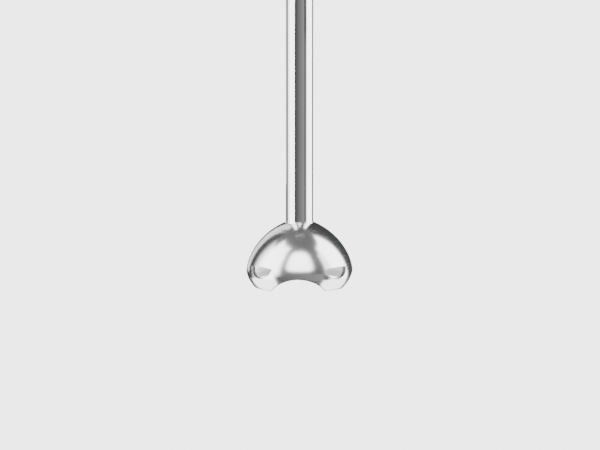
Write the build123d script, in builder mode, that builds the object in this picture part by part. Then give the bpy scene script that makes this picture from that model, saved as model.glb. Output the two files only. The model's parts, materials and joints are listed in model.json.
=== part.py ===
from build123d import *

import os
from math import cos, pi, radians, sin

os.makedirs("parts", exist_ok=True)

# An immersion blender: a stainless bell on a straight tube, pushed up into a motor unit that is held
# in the hand. Millimetres. Z runs up the drive axis, the origin is the centre of the plane that the
# bell's four feet stand on, and the buttons face -Y.

# ---------------------------------------------------------------- driving dimensions
# Bell: a domed skirt with four lobes; an arch is cut in each valley, a half-moon vent in each lobe.
bell_radius = 35.0
bell_rise = 34.6
bell_equator = 8.5
bell_fullness = 1.7
bell_taper = 0.05
bell_wall = 1.2
lobe_height = 11.0
lobe_depth = 1.9
lobe_foot_depth = 0.3
crown_base = 37.0
neck_radius = 9.35
neck_top = 42.6
arch_half = 17.5
arch_height = 8.6
arch_round = 5.0
vent_half = 10.2
vent_low = 7.8
vent_high = 15.6
vent_corner = 14.8
vent_lip = 1.1

# Foot: tube, bearings and the head that plugs into the motor unit.
tube_radius = 9.0
tube_wall = 0.8
tube_bottom = 38.2
tube_top = 212.0
spindle_radius = 3.0
bush_radius = 5.2
head_bottom = 194.2
head_skirt_radius = 19.4
head_skirt_top = 206.0
plug_radius = 14.6
plug_top = 230.0
coupling_bottom = 213.5
coupling_top = 229.0

# Blade
blade_radius = 24.5
blade_bottom = 15.0
blade_thickness = 1.6
blade_bend_at = 8.6
blade_bend = 22.0

# Motor unit casing
nose_bottom = 206.3
nose_bottom_radius = 19.6
nose_middle = 222.0
nose_middle_radius = 25.2
nose_top = 244.0
body_radius = 28.3
sleeve_bottom = 247.0
sleeve_top = 322.0
sleeve_wall = 0.6
grip_bottom = 322.6
grip_waist = 346.0
grip_radius = 24.2
grip_pad = 1.6
casing_top = 390.0
casing_wall = 2.2
socket_radius = 14.9
socket_wall = 1.7
socket_ceiling = 233.0
bracket_radius = 25.2

# Motor
motor_shaft_radius = 4.0
stack_bottom = 278.0
stack_top = 308.0
stack_radius = 24.0
yoke_inner = 20.5
stator_bore = 14.2
armature_radius = 13.6
bearing_radius = 11.0
bearing_width = 7.0
lower_bearing_bottom = 250.0
upper_bearing_bottom = 328.5
bolt_x = 22.2
fan_radius = 19.0
commutator_radius = 7.5

# Controls
power_height = 371.0
turbo_height = 349.0
button_radius = 7.6
button_face = 25.7
button_seat = 16.4
panel_width = 21.0
panel_bottom = 334.0
panel_top = 386.0
panel_proud = 0.4
dial_bottom = 391.4
dial_top = 404.6
dial_radius = 24.6
post_radius = 11.8
lever_x = 19.4
lever_z = 224.0
lever_pin_radius = 1.2
gland_bore = 3.5
gland_top = 415.0

# Clearances
running = 0.05
gap = 0.3


# ---------------------------------------------------------------- shared helpers
def save(builder, name):
    """Label a finished sub-part and write it to parts/NAME.step."""
    builder.part.label = name
    export_step(builder.part, f"parts/{name}.step")


def outline(*points):
    """A closed outline of (radius, height) points, ready to be turned about Z."""
    with BuildSketch(Plane.XZ) as drawn:
        with BuildLine():
            Polyline(*points, close=True)
        make_face()
    return drawn.sketch


def band(inner, outer, low, high):
    """The rectangle that turns into a plain ring."""
    return outline((inner, low), (outer, low), (outer, high), (inner, high))


def casing_profile(body_inset, grip_inset):
    """Half section of the motor unit's skin, moved in by a distance below and above the sleeve."""
    body = body_radius - body_inset
    grip = grip_radius - grip_inset
    with BuildSketch(Plane.XZ) as drawn:
        with BuildLine():
            Polyline((0, casing_top), (0, nose_bottom), (nose_bottom_radius - body_inset, nose_bottom))
            ThreePointArc(
                (nose_bottom_radius - body_inset, nose_bottom),
                (nose_middle_radius - body_inset, nose_middle),
                (body, nose_top),
            )
            Line((body, nose_top), (body, sleeve_top))
            Spline((body, sleeve_top), (grip, grip_waist), tangents=[(0, 1), (0, 1)])
            Polyline((grip, grip_waist), (grip, casing_top), (0, casing_top))
        make_face()
    return drawn.sketch


# ---------------------------------------------------------------- bell
def bell_valley_radius(height, inset):
    """Radius of the skirt in its valleys: a superellipse above the equator, a slow taper below."""
    if height < bell_equator:
        return (bell_radius - inset) * (1 - bell_taper * ((bell_equator - height) / bell_equator) ** 2)
    rise = (height - bell_equator) / (bell_rise - inset)
    return (bell_radius - inset) * (1 - rise**bell_fullness) ** (1 / bell_fullness)


def bell_lobe_depth(height):
    """How far the lobes stand outside the valleys; they fade out at the crown and at the feet."""
    if height < lobe_height:
        fade = ((lobe_height - height) / lobe_height) ** 2
        return lobe_depth - (lobe_depth - lobe_foot_depth) * min(fade, 1.0)
    fade = ((height - lobe_height) / (crown_base - lobe_height)) ** 2
    return lobe_depth * (1 - min(fade, 1.0))


def bell_section(height, inset):
    """One level section of the skirt, a closed smooth curve through 32 points."""
    points = []
    for step in range(32):
        angle = 2 * pi * step / 32
        swell = bell_lobe_depth(height) * (1 - cos(4 * angle)) / 2
        reach = bell_valley_radius(height, inset) + swell
        points.append((reach * cos(angle), reach * sin(angle)))
    with BuildSketch(Plane.XY.offset(height)) as drawn:
        with BuildLine():
            Spline(*points, periodic=True)
        make_face()
    return drawn.sketch


def vent_face(margin):
    """The half-moon outline of one vent, grown by a margin, on a wall plane facing outward."""
    with BuildSketch() as drawn:
        with BuildLine():
            ThreePointArc((-vent_half, vent_corner), (0, vent_low), (vent_half, vent_corner))
            ThreePointArc((vent_half, vent_corner), (0, vent_high), (-vent_half, vent_corner))
        make_face()
        fillet(drawn.vertices(), radius=0.7)
        if margin > 0:
            offset(amount=margin)
    return drawn.sketch


skirt_heights = (3.0, 6.0, 9.0, 12.5, 17.0, 22.0, 27.0, 32.0, crown_base)

with BuildPart() as bell_outside:
    loft([bell_section(height, 0.0) for height in (0.0, *skirt_heights, 39.5, 41.0)])
    revolve(band(0, neck_radius, crown_base, neck_top), axis=Axis.Z)

with BuildPart() as bell_inside:
    loft([bell_section(height, bell_wall) for height in (-1.0, *skirt_heights, 38.6, 39.6)])
    revolve(band(0, tube_radius, 20.0, neck_top + 1), axis=Axis.Z)

# Where a vent's lip is to stand, the hollow is left filled; the vent is then cut through it.
with BuildPart() as bell_hollow:
    add(bell_inside.part)
    for turn in (45, 135, 225, 315):
        with BuildSketch(Plane.XZ.rotated((0, 0, turn)).offset(31.4)):
            add(vent_face(vent_lip))
        extrude(amount=12, mode=Mode.SUBTRACT)

with BuildPart() as bell:
    add(bell_outside.part)
    add(bell_hollow.part, mode=Mode.SUBTRACT)
    for turn in (45, 135, 225, 315):
        with BuildSketch(Plane.XZ.rotated((0, 0, turn)).offset(24)):
            add(vent_face(0))
        extrude(amount=20, mode=Mode.SUBTRACT)
    for wall in (Plane.XZ, Plane.YZ):
        with BuildSketch(wall) as arch:
            with BuildLine():
                ThreePointArc((-arch_half, 0), (0, arch_height), (arch_half, 0))
                Polyline(
                    (arch_half, 0), (23, 0), (23, -3), (-23, -3), (-23, 0), (-arch_half, 0)
                )
            make_face()
            fillet(arch.vertices().filter_by_position(Axis.X, -18, 18), radius=arch_round)
        extrude(amount=60, both=True, mode=Mode.SUBTRACT)
save(bell, "bell")

# ---------------------------------------------------------------- tube and its bearings
with BuildPart() as shaft_tube:
    revolve(band(tube_radius - tube_wall, tube_radius, tube_bottom, tube_top), axis=Axis.Z)
save(shaft_tube, "shaft_tube")

spigot = tube_radius - tube_wall
with BuildPart() as bell_hub:
    hub_outline = outline(
        (bush_radius, 20.8),
        (7.4, 20.8),
        (8.8, 27.0),
        (8.8, 33.4),
        (11.4, 34.2),
        (11.4, 35.8),
        (9.0, 38.0),
        (spigot, 38.0),
        (spigot, 56.0),
        (bush_radius, 56.0),
        (bush_radius, 42.0),
        (3.4, 42.0),
        (3.4, 36.0),
        (bush_radius, 36.0),
    )
    revolve(hub_outline, axis=Axis.Z)
save(bell_hub, "bell_hub")

with BuildPart() as lower_bush:
    revolve(band(spindle_radius + running, bush_radius, 24.2, 36.0), axis=Axis.Z)
save(lower_bush, "lower_bush")

with BuildPart() as shaft_seal:
    seal_outline = outline(
        (4.2, 20.8),
        (bush_radius, 20.8),
        (bush_radius, 24.2),
        (spindle_radius + running, 24.2),
        (spindle_radius + running, 22.6),
        (3.5, 22.2),
    )
    revolve(seal_outline, axis=Axis.Z)
save(shaft_seal, "shaft_seal")

with BuildPart() as seal_retainer:
    revolve(band(3.7, 7.2, 19.6, 20.8), axis=Axis.Z)
    with Locations((0, 0, 20.2)):
        with PolarLocations(5.6, 3):
            Cylinder(0.8, 10, mode=Mode.SUBTRACT)
save(seal_retainer, "seal_retainer")

with BuildPart() as middle_bush:
    revolve(band(spindle_radius + running, spigot, 116.0, 126.0), axis=Axis.Z)
    with Locations((0, 0, 121)):
        with PolarLocations(5.8, 6):
            Cylinder(1.2, 20, mode=Mode.SUBTRACT)
save(middle_bush, "middle_bush")

with BuildPart() as upper_bush:
    revolve(band(spindle_radius + running, spigot, 198.0, 211.0), axis=Axis.Z)
save(upper_bush, "upper_bush")

with BuildPart() as tube_collar:
    collar_outline = outline(
        (tube_radius, 191.6), (9.8, 191.6), (10.9, 192.6), (11.2, head_bottom), (tube_radius, head_bottom)
    )
    revolve(collar_outline, axis=Axis.Z)
save(tube_collar, "tube_collar")

with BuildPart() as foot_head:
    with BuildSketch(Plane.XZ):
        with BuildLine():
            Line((tube_radius, head_bottom), (11.2, head_bottom))
            ThreePointArc((11.2, head_bottom), (16.2, 197.4), (head_skirt_radius, 203.6))
            Polyline(
                (head_skirt_radius, 203.6),
                (head_skirt_radius, head_skirt_top),
                (plug_radius, head_skirt_top),
                (plug_radius, 209.2),
                (13.4, 209.2),
                (13.4, 211.2),
                (plug_radius, 211.2),
                (plug_radius, 213.4),
                (13.2, 213.6),
                (13.2, 218.4),
                (plug_radius, 218.8),
                (plug_radius, plug_top - 1.0),
                (plug_radius - 1.0, plug_top),
                (10.4, plug_top),
                (10.4, 212.8),
                (spigot, 212.8),
                (spigot, tube_top),
                (tube_radius, tube_top),
                (tube_radius, head_bottom),
            )
        make_face()
    revolve(axis=Axis.Z)
save(foot_head, "foot_head")

with BuildPart() as head_seal_ring:
    revolve(band(13.4, plug_radius, 209.3, 211.1), axis=Axis.Z)
    fillet(head_seal_ring.edges().filter_by(GeomType.CIRCLE), radius=0.55)
save(head_seal_ring, "head_seal_ring")

# ---------------------------------------------------------------- spindle
with BuildPart() as drive_shaft:
    shaft_outline = outline(
        (0, 12.2),
        (1.8, 12.2),
        (2.3, 12.7),
        (2.3, blade_bottom + blade_thickness),
        (spindle_radius, blade_bottom + blade_thickness),
        (spindle_radius, 217.4),
        (0, 217.4),
    )
    revolve(shaft_outline, axis=Axis.Z)
save(drive_shaft, "drive_shaft")


def wing_plane(turn, tilt):
    """The plane a wing lies in: its x runs outward from the bend and climbs by the tilt."""
    ahead = Vector(cos(radians(turn)), sin(radians(turn)), 0)
    outward = ahead * cos(radians(tilt)) + Vector(0, 0, sin(radians(tilt)))
    upward = ahead * -sin(radians(tilt)) + Vector(0, 0, cos(radians(tilt)))
    root = ahead * blade_bend_at + Vector(0, 0, blade_bottom)
    return Plane(origin=root, x_dir=outward, z_dir=upward)


wing_length = (blade_radius - blade_bend_at) / cos(radians(blade_bend)) - 0.4

with BuildPart() as blade:
    with BuildSketch(Plane.XY.offset(blade_bottom)):
        Circle(blade_bend_at + 0.6)
    extrude(amount=blade_thickness)
    for wing, turn in enumerate((20, 110, 200, 290)):
        slope = blade_bend if wing % 2 == 0 else -blade_bend
        with BuildSketch(wing_plane(turn, slope)):
            with BuildLine():
                Polyline(
                    (wing_length, 2.2), (wing_length - 3.0, 3.6), (-1.6, 4.8), (-1.6, -4.8), (4.0, -4.4)
                )
                ThreePointArc((4.0, -4.4), (wing_length * 0.66, -2.6), (wing_length, 2.2))
            make_face()
        extrude(amount=blade_thickness)
    Cylinder(2.3, 80, mode=Mode.SUBTRACT)
save(blade, "blade")

with BuildPart() as blade_boss:
    revolve(band(spindle_radius, 5.4, blade_bottom + blade_thickness, 19.2), axis=Axis.Z)
    fillet(blade_boss.edges().group_by(Axis.Z)[-1].sort_by(SortBy.RADIUS)[-1], radius=0.8)
save(blade_boss, "blade_boss")

with BuildPart() as blade_nut:
    with BuildSketch(Plane.XY.offset(12.6)):
        RegularPolygon(radius=4.5, side_count=6)
        Circle(2.3, mode=Mode.SUBTRACT)
    extrude(amount=blade_bottom - 12.6)
save(blade_nut, "blade_nut")

with BuildPart() as retaining_ring:
    revolve(band(spindle_radius, 6.0, 211.3, 212.3), axis=Axis.Z)
    with Locations((6, 0, 211.8)):
        Box(8, 2.4, 2, mode=Mode.SUBTRACT)
save(retaining_ring, "retaining_ring")


def star(core, tip, tooth):
    """Section of the drive star: a round core with six straight-sided teeth."""
    with BuildSketch() as drawn:
        Circle(core)
        with PolarLocations(tip / 2, 6):
            Rectangle(tip, tooth)
    return drawn.sketch


with BuildPart() as driven_coupling:
    revolve(band(spindle_radius, 7.0, coupling_bottom, 217.4), axis=Axis.Z)
    revolve(band(0, 9.6, 217.4, coupling_top), axis=Axis.Z)
    with BuildSketch(Plane.XY.offset(218.4)):
        add(star(4.8, 6.9, 3.2))
    extrude(amount=20, mode=Mode.SUBTRACT)
    chamfer(driven_coupling.faces().sort_by(Axis.Z)[-1].outer_wire().edges(), length=0.6)
save(driven_coupling, "driven_coupling")

# ---------------------------------------------------------------- casing
with BuildPart() as whole_grip:
    revolve(casing_profile(0, 0), axis=Axis.Z)
    revolve(casing_profile(grip_pad, grip_pad), axis=Axis.Z, mode=Mode.SUBTRACT)
    split(bisect_by=Plane.XY.offset(grip_bottom), keep=Keep.TOP)

panel_height = panel_top - panel_bottom
panel_middle = (panel_top + panel_bottom) / 2

with BuildPart() as panel_prism:
    with BuildSketch(Plane.XZ.offset(12)):
        with Locations((0, panel_middle)):
            RectangleRounded(panel_width, panel_height, panel_width / 2 - 0.1)
    extrude(amount=30)

with BuildPart() as button_holes:
    with BuildSketch(Plane.XZ.offset(10)):
        with Locations((0, power_height), (0, turbo_height)):
            Circle(button_radius + gap)
    extrude(amount=30)

with BuildPart() as grip_sleeve:
    add(whole_grip.part)
    add(panel_prism.part, mode=Mode.SUBTRACT)
save(grip_sleeve, "grip_sleeve")

with BuildPart() as button_bezel:
    revolve(casing_profile(-panel_proud, -panel_proud), axis=Axis.Z)
    revolve(casing_profile(grip_pad, grip_pad), axis=Axis.Z, mode=Mode.SUBTRACT)
    add(panel_prism.part, mode=Mode.INTERSECT)
    add(button_holes.part, mode=Mode.SUBTRACT)
save(button_bezel, "button_bezel")

screw_x = 16.8
screw_heights = (343.0, 379.5)

inside = casing_wall + sleeve_wall

# Screw bosses and board rails, trimmed to the inside of the wall.
with BuildPart() as ribs:
    for height in screw_heights:
        with BuildSketch(Plane.XZ.offset(-12)):
            with Locations((screw_x, height), (-screw_x, height)):
                Circle(2.6)
        extrude(amount=20)
    with Locations((14.85, -11.5, 361.5), (-14.85, -11.5, 361.5)):
        Box(1.5, 9, 44)
    revolve(casing_profile(inside - 0.4, grip_pad + 1), axis=Axis.Z, mode=Mode.INTERSECT)

with BuildPart() as whole_casing:
    revolve(casing_profile(0, 0), axis=Axis.Z)
    core_radius = body_radius - sleeve_wall
    revolve(band(core_radius, body_radius + 2, nose_top, grip_bottom), axis=Axis.Z, mode=Mode.SUBTRACT)
    add(whole_grip.part, mode=Mode.SUBTRACT)
    revolve(casing_profile(inside, grip_pad + casing_wall), axis=Axis.Z, mode=Mode.SUBTRACT)
    add(ribs.part)
    for height in screw_heights:
        with BuildSketch(Plane.XZ.offset(-40)):
            with Locations((screw_x, height), (-screw_x, height)):
                Circle(1.2)
        extrude(amount=47.5, mode=Mode.SUBTRACT)
        with BuildSketch(Plane.XZ.offset(-40)):
            with Locations((screw_x, height), (-screw_x, height)):
                Circle(2.6)
        extrude(amount=30.5, mode=Mode.SUBTRACT)
    # Windows for the release levers and air slots round the nose.
    with Locations((25, 0, 235), (-25, 0, 235)):
        Box(14, 11.8, 13.6, mode=Mode.SUBTRACT)
    for turn in (-120, -105, -90, -75, -60, 60, 75, 90, 105, 120):
        with Locations(Location((0, 0, 233), (0, 0, turn))):
            with Locations((26, 0, 0)):
                Box(12, 2.2, 11, mode=Mode.SUBTRACT)
    add(button_holes.part, mode=Mode.SUBTRACT)

with BuildPart() as front_shell:
    add(whole_casing.part)
    split(bisect_by=Plane.XZ, keep=Keep.TOP)
save(front_shell, "front_shell")

with BuildPart() as back_shell:
    add(whole_casing.part)
    split(bisect_by=Plane.XZ, keep=Keep.BOTTOM)
save(back_shell, "back_shell")

with BuildPart() as steel_sleeve:
    revolve(band(core_radius, body_radius, sleeve_bottom, sleeve_top), axis=Axis.Z)
save(steel_sleeve, "steel_sleeve")

with BuildPart() as trim_ring:
    revolve(band(core_radius, body_radius + 0.5, nose_top, sleeve_bottom), axis=Axis.Z)
    fillet(trim_ring.edges().filter_by(GeomType.CIRCLE).group_by(SortBy.RADIUS)[-1], radius=0.45)
save(trim_ring, "trim_ring")

with BuildPart() as casing_screws:
    for height in screw_heights:
        with BuildSketch(Plane.XZ.offset(-9.5)):
            with Locations((screw_x, height), (-screw_x, height)):
                Circle(1.2)
        extrude(amount=16.5)
        with BuildSketch(Plane.XZ.offset(-11.3)):
            with Locations((screw_x, height), (-screw_x, height)):
                Circle(2.3)
        extrude(amount=1.8)
save(casing_screws, "casing_screws")

# ---------------------------------------------------------------- socket for the foot
socket_outer = socket_radius + socket_wall
with BuildPart() as socket_housing:
    socket_outline = outline(
        (socket_radius, 206.6),
        (socket_outer, 206.6),
        (socket_outer, 243.0),
        (bracket_radius, 243.0),
        (bracket_radius, 245.5),
        (socket_radius, 245.5),
        (socket_radius, 235.0),
        (7.4, 235.0),
        (7.4, socket_ceiling),
        (socket_radius, socket_ceiling),
    )
    revolve(socket_outline, axis=Axis.Z)
    for side in (1, -1):
        for lug in (4.7, -4.7):
            with BuildSketch(Plane.XZ.offset(lug - 0.9)):
                with Locations((side * lever_x, lever_z)):
                    Circle(2.3)
                with Locations((side * (socket_outer + lever_x - 1.0) / 2, lever_z)):
                    Rectangle(lever_x - socket_outer + 1.0, 4.6)
                with Locations((side * lever_x, lever_z)):
                    Circle(lever_pin_radius, mode=Mode.SUBTRACT)
            extrude(amount=1.8)
        with Locations((side * 16, 0, 215.9)):
            Box(6, 8.4, 6.4, mode=Mode.SUBTRACT)
    with PolarLocations(21.0, 8, start_angle=22.5):
        Cylinder(2.6, 600, mode=Mode.SUBTRACT)
save(socket_housing, "socket_housing")

with BuildPart() as release_pins:
    with BuildSketch(Plane.XZ.offset(-5.6)):
        with Locations((lever_x, lever_z), (-lever_x, lever_z)):
            Circle(lever_pin_radius)
    extrude(amount=11.2)
save(release_pins, "release_pins")

# ---------------------------------------------------------------- release levers
with BuildPart() as lever_skin:
    revolve(casing_profile(-1.0, -1.0), axis=Axis.Z)

with BuildPart() as lever_pad:
    with Locations((27.25, 0, 234.5)):
        Box(9.5, 11.0, 11.4)
    fillet(lever_pad.edges().filter_by(Axis.X), radius=2.4)
    add(lever_skin.part, mode=Mode.INTERSECT)

with BuildPart() as release_lever_right:
    with BuildSketch(Plane.XZ.offset(-3.5)):
        with BuildLine():
            Polyline(
                (socket_radius + 0.1, 214.4),
                (17.5, 214.1),
                (18.3, 217.0),
                (20.4, lever_z - 1.5),
                (22.0, 229.4),
                (24.0, 229.4),
                (24.0, 232.0),
                (21.4, 232.0),
                (19.4, lever_z + 2.4),
                (16.9, lever_z),
                (16.9, 217.9),
                (socket_radius + 0.1, 217.9),
                close=True,
            )
        make_face()
        with Locations((lever_x, lever_z)):
            Circle(2.45)
    extrude(amount=7)
    add(lever_pad.part)
    with BuildSketch(Plane.XZ.offset(-5)):
        with Locations((lever_x, lever_z)):
            Circle(lever_pin_radius + running)
    extrude(amount=10, mode=Mode.SUBTRACT)
save(release_lever_right, "release_lever_right")

with BuildPart() as release_lever_left:
    add(release_lever_right.part.mirror(Plane.YZ))
save(release_lever_left, "release_lever_left")

spring_run = 22.5 - socket_outer
with BuildPart() as release_spring_right:
    with BuildLine() as coil:
        Helix(
            pitch=(spring_run - 0.7) / 5,
            height=spring_run - 0.7,
            radius=1.7,
            center=(socket_outer + 0.35, 0, 236.5),
            direction=(1, 0, 0),
        )
    with BuildSketch(Plane(origin=coil.line @ 0, z_dir=coil.line % 0)):
        Circle(0.3)
    sweep(path=coil.line, is_frenet=True)
save(release_spring_right, "release_spring_right")

with BuildPart() as release_spring_left:
    add(release_spring_right.part.mirror(Plane.YZ))
save(release_spring_left, "release_spring_left")

# ---------------------------------------------------------------- motor: fixed pieces
with BuildPart() as motor_damper:
    revolve(band(17.4, bracket_radius, 245.5, 247.4), axis=Axis.Z)
save(motor_damper, "motor_damper")

with BuildPart() as lower_motor_bracket:
    lower_outline = outline(
        (6.5, 247.4),
        (bracket_radius, 247.4),
        (bracket_radius, 249.4),
        (12.6, 249.4),
        (12.6, 257.0),
        (bearing_radius, 257.0),
        (bearing_radius, lower_bearing_bottom),
        (6.5, lower_bearing_bottom),
    )
    revolve(lower_outline, axis=Axis.Z)
    with BuildSketch(Plane.XY.offset(249.0)):
        with Locations((bolt_x, 0), (-bolt_x, 0)):
            Circle(2.6)
    extrude(amount=stack_bottom - 249.0)
    with BuildSketch(Plane.XY.offset(247.0)):
        with Locations((bolt_x, 0), (-bolt_x, 0)):
            Circle(1.3)
    extrude(amount=stack_bottom - 247.0 + 1, mode=Mode.SUBTRACT)
    with BuildSketch(Plane.XY.offset(247.0)):
        with PolarLocations(18.0, 8, start_angle=22.5):
            Circle(3.2)
    extrude(amount=4, mode=Mode.SUBTRACT)
save(lower_motor_bracket, "lower_motor_bracket")


def ball_bearing(bottom):
    """Section of a shielded bearing: two rings with a recessed shield between them."""
    inner = motor_shaft_radius + running
    high = bottom + bearing_width
    return outline(
        (inner, bottom),
        (5.9, bottom),
        (5.9, bottom + 0.5),
        (9.2, bottom + 0.5),
        (9.2, bottom),
        (bearing_radius, bottom),
        (bearing_radius, high),
        (9.2, high),
        (9.2, high - 0.5),
        (5.9, high - 0.5),
        (5.9, high),
        (inner, high),
    )


with BuildPart() as lower_motor_bearing:
    revolve(ball_bearing(lower_bearing_bottom), axis=Axis.Z)
save(lower_motor_bearing, "lower_motor_bearing")

with BuildPart() as upper_motor_bearing:
    revolve(ball_bearing(upper_bearing_bottom), axis=Axis.Z)
save(upper_motor_bearing, "upper_motor_bearing")

with BuildPart() as stator_core:
    with BuildSketch(Plane.XY.offset(stack_bottom)):
        Circle(stack_radius)
        Circle(yoke_inner, mode=Mode.SUBTRACT)
        Rectangle(14.0, 2 * yoke_inner + 1)
        with BuildSketch(mode=Mode.PRIVATE) as shoes:
            Circle(16.4)
            with Locations((20.5, 0), (-20.5, 0)):
                Rectangle(24, 50, mode=Mode.SUBTRACT)
            with Locations((13, 0), (-13, 0)):
                Rectangle(9, 14, mode=Mode.SUBTRACT)
        add(shoes.sketch)
        Circle(stator_bore, mode=Mode.SUBTRACT)
        with Locations((bolt_x, 0), (-bolt_x, 0)):
            Circle(1.3, mode=Mode.SUBTRACT)
    extrude(amount=stack_top - stack_bottom)
save(stator_core, "stator_core")

stack_middle = (stack_bottom + stack_top) / 2
with BuildPart() as field_coils:
    for side in (16.85, -16.85):
        with Locations((0, side, stack_middle)):
            Box(19.6, 1.7, 42.0)
            Box(14.0, 4.0, 30.0, mode=Mode.SUBTRACT)
save(field_coils, "field_coils")

with BuildPart() as upper_motor_bracket:
    with BuildSketch(Plane.XY.offset(326.2)):
        Circle(20.6)
        with Locations((bolt_x - 1.6, 0), (1.6 - bolt_x, 0)):
            Rectangle(5.2, 9)
        with PolarLocations(16.2, 4, start_angle=45):
            Circle(3.2, mode=Mode.SUBTRACT)
        Circle(6.5, mode=Mode.SUBTRACT)
    extrude(amount=2.3)
    revolve(band(bearing_radius, 12.6, 328.5, 335.5), axis=Axis.Z)
    revolve(band(9.4, 12.6, 335.5, 336.5), axis=Axis.Z)
    for side in (1, -1):
        with Locations((side * 22.0, 0, 318.0)):
            Box(2.4, 9, 16.4)
        with Locations((side * bolt_x, 0, 308.9)):
            Box(2.8, 9, 1.8)
        with Locations((side * bolt_x, 0, 309)):
            Cylinder(1.3, 8, mode=Mode.SUBTRACT)
save(upper_motor_bracket, "upper_motor_bracket")

with BuildPart() as motor_bolts:
    with BuildSketch(Plane.XY.offset(247.4)):
        with Locations((bolt_x, 0), (-bolt_x, 0)):
            Circle(1.3)
    extrude(amount=stack_top + 1.8 - 247.4)
save(motor_bolts, "motor_bolts")

with BuildPart() as brush_holders:
    for side in (15.2, -15.2):
        with Locations((0, side, 321.8)):
            Box(7.6, 11.4, 8.8)
            Box(5.2, 14.0, 5.6, mode=Mode.SUBTRACT)
save(brush_holders, "brush_holders")

with BuildPart() as carbon_brushes:
    for side in (11.6, -11.6):
        with Locations((0, side, 321.8)):
            Box(5.2, 8.8, 5.6)
    Cylinder(commutator_radius + running, 900, mode=Mode.SUBTRACT)
save(carbon_brushes, "carbon_brushes")

with BuildPart() as brush_springs:
    for side in (1, -1):
        with BuildLine(mode=Mode.PRIVATE) as push:
            Helix(pitch=0.9, height=3.6, radius=1.6, center=(0, side * 16.4, 321.8), direction=(0, side, 0))
        with BuildSketch(Plane(origin=push.line @ 0, z_dir=push.line % 0)):
            Circle(0.25)
        sweep(path=push.line, is_frenet=True)
save(brush_springs, "brush_springs")

# ---------------------------------------------------------------- motor: turning pieces
with BuildPart() as motor_shaft:
    revolve(band(0, motor_shaft_radius, 224.0, 336.2), axis=Axis.Z)
    chamfer(motor_shaft.edges().filter_by(GeomType.CIRCLE), length=0.4)
save(motor_shaft, "motor_shaft")

with BuildPart() as armature_core:
    with BuildSketch(Plane.XY.offset(stack_bottom)):
        Circle(armature_radius)
        Circle(motor_shaft_radius, mode=Mode.SUBTRACT)
        with PolarLocations(11.2, 12):
            Rectangle(5.2, 2.2, mode=Mode.SUBTRACT)
    extrude(amount=stack_top - stack_bottom)
save(armature_core, "armature_core")

with BuildPart() as armature_windings:
    with BuildSketch(Plane.XY.offset(stack_bottom)):
        with PolarLocations(10.9, 12):
            Rectangle(4.6, 2.2)
    extrude(amount=stack_top - stack_bottom)
    for low, high in ((271.2, stack_bottom), (stack_top, 314.8)):
        revolve(band(5.2, 13.0, low, high), axis=Axis.Z)
save(armature_windings, "armature_windings")

with BuildPart() as commutator:
    revolve(band(motor_shaft_radius, commutator_radius, 316.2, 325.6), axis=Axis.Z)
    with Locations((0, 0, 322.4)):
        with PolarLocations(commutator_radius, 24):
            Box(0.9, 0.35, 8.0, mode=Mode.SUBTRACT)
save(commutator, "commutator")

with BuildPart() as cooling_fan:
    revolve(band(motor_shaft_radius, 7.0, 259.0, 268.6), axis=Axis.Z)
    revolve(band(6.0, fan_radius, 259.0, 260.6), axis=Axis.Z)
    with BuildSketch(Plane.XY.offset(260.0)):
        with PolarLocations(12.6, 11):
            with Locations(Rotation(0, 0, 24)):
                Rectangle(11.6, 1.2)
    extrude(amount=8.6)
save(cooling_fan, "cooling_fan")

with BuildPart() as drive_coupling:
    with BuildSketch(Plane.XY.offset(219.0)):
        add(star(4.4, 6.4, 2.4))
    extrude(amount=10.8)
    revolve(band(0, 6.8, 229.6, 232.4), axis=Axis.Z)
    with BuildSketch(Plane.XY.offset(224.0)):
        Circle(motor_shaft_radius)
    extrude(amount=20, mode=Mode.SUBTRACT)
save(drive_coupling, "drive_coupling")

# ---------------------------------------------------------------- board and switches
with BuildPart() as circuit_board:
    with Locations((0, -8.8, 361.0)):
        Box(28.0, 1.6, 42.0)
save(circuit_board, "circuit_board")

with BuildPart() as button_switches:
    for height in (power_height, turbo_height):
        with Locations((0, -11.6, height)):
            Box(6.4, 4.0, 6.4)
        with BuildSketch(Plane.XZ.offset(13.4)):
            with Locations((0, height)):
                Circle(1.5)
        extrude(amount=0.8)
save(button_switches, "button_switches")

with BuildPart() as capacitor:
    with Locations((0, -4.2, 353.0)):
        Box(16.0, 7.6, 15.0)
    fillet(capacitor.edges().filter_by(Axis.Z), radius=1.0)
save(capacitor, "capacitor")

with BuildPart() as terminal_block:
    with Locations((0, -4.0, 373.0)):
        Box(15.0, 8.0, 9.0)
    with BuildSketch(Plane.XZ.offset(-1)):
        with Locations((-3.6, 373.0), (3.6, 373.0)):
            Circle(1.6)
    extrude(amount=3.5, mode=Mode.SUBTRACT)
save(terminal_block, "terminal_block")

# ---------------------------------------------------------------- buttons
for name, height in (("power_button", power_height), ("turbo_button", turbo_height)):
    with BuildPart() as button:
        with BuildSketch(Plane.XZ.offset(button_seat)):
            with Locations((0, height)):
                Circle(button_radius)
        extrude(amount=button_face - button_seat)
        fillet(button.faces().sort_by(Axis.Y)[0].edges(), radius=0.9)
        with BuildSketch(Plane.XZ.offset(button_seat)):
            with Locations((0, height)):
                Circle(button_radius + 1.2)
        extrude(amount=1.4)
    save(button, name)

# ---------------------------------------------------------------- top: dial, cap and cord gland
with BuildPart() as top_frame:
    frame_outline = outline(
        (8.2, 385.0),
        (20.1, 385.0),
        (20.1, casing_top),
        (grip_radius, casing_top),
        (grip_radius, dial_bottom - 0.4),
        (post_radius, dial_bottom - 0.4),
        (post_radius, 405.0),
        (8.2, 405.0),
    )
    revolve(frame_outline, axis=Axis.Z)
    with BuildSketch(Plane.XY.offset(379.0)):
        with Locations((6.5, 10.6), (-6.5, 10.6)):
            Circle(2.4)
    extrude(amount=7.0)
    with BuildSketch(Plane.XY.offset(379.0)):
        with Locations((6.5, 10.6), (-6.5, 10.6)):
            Circle(1.1)
    extrude(amount=5.0, mode=Mode.SUBTRACT)
save(top_frame, "top_frame")

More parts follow.
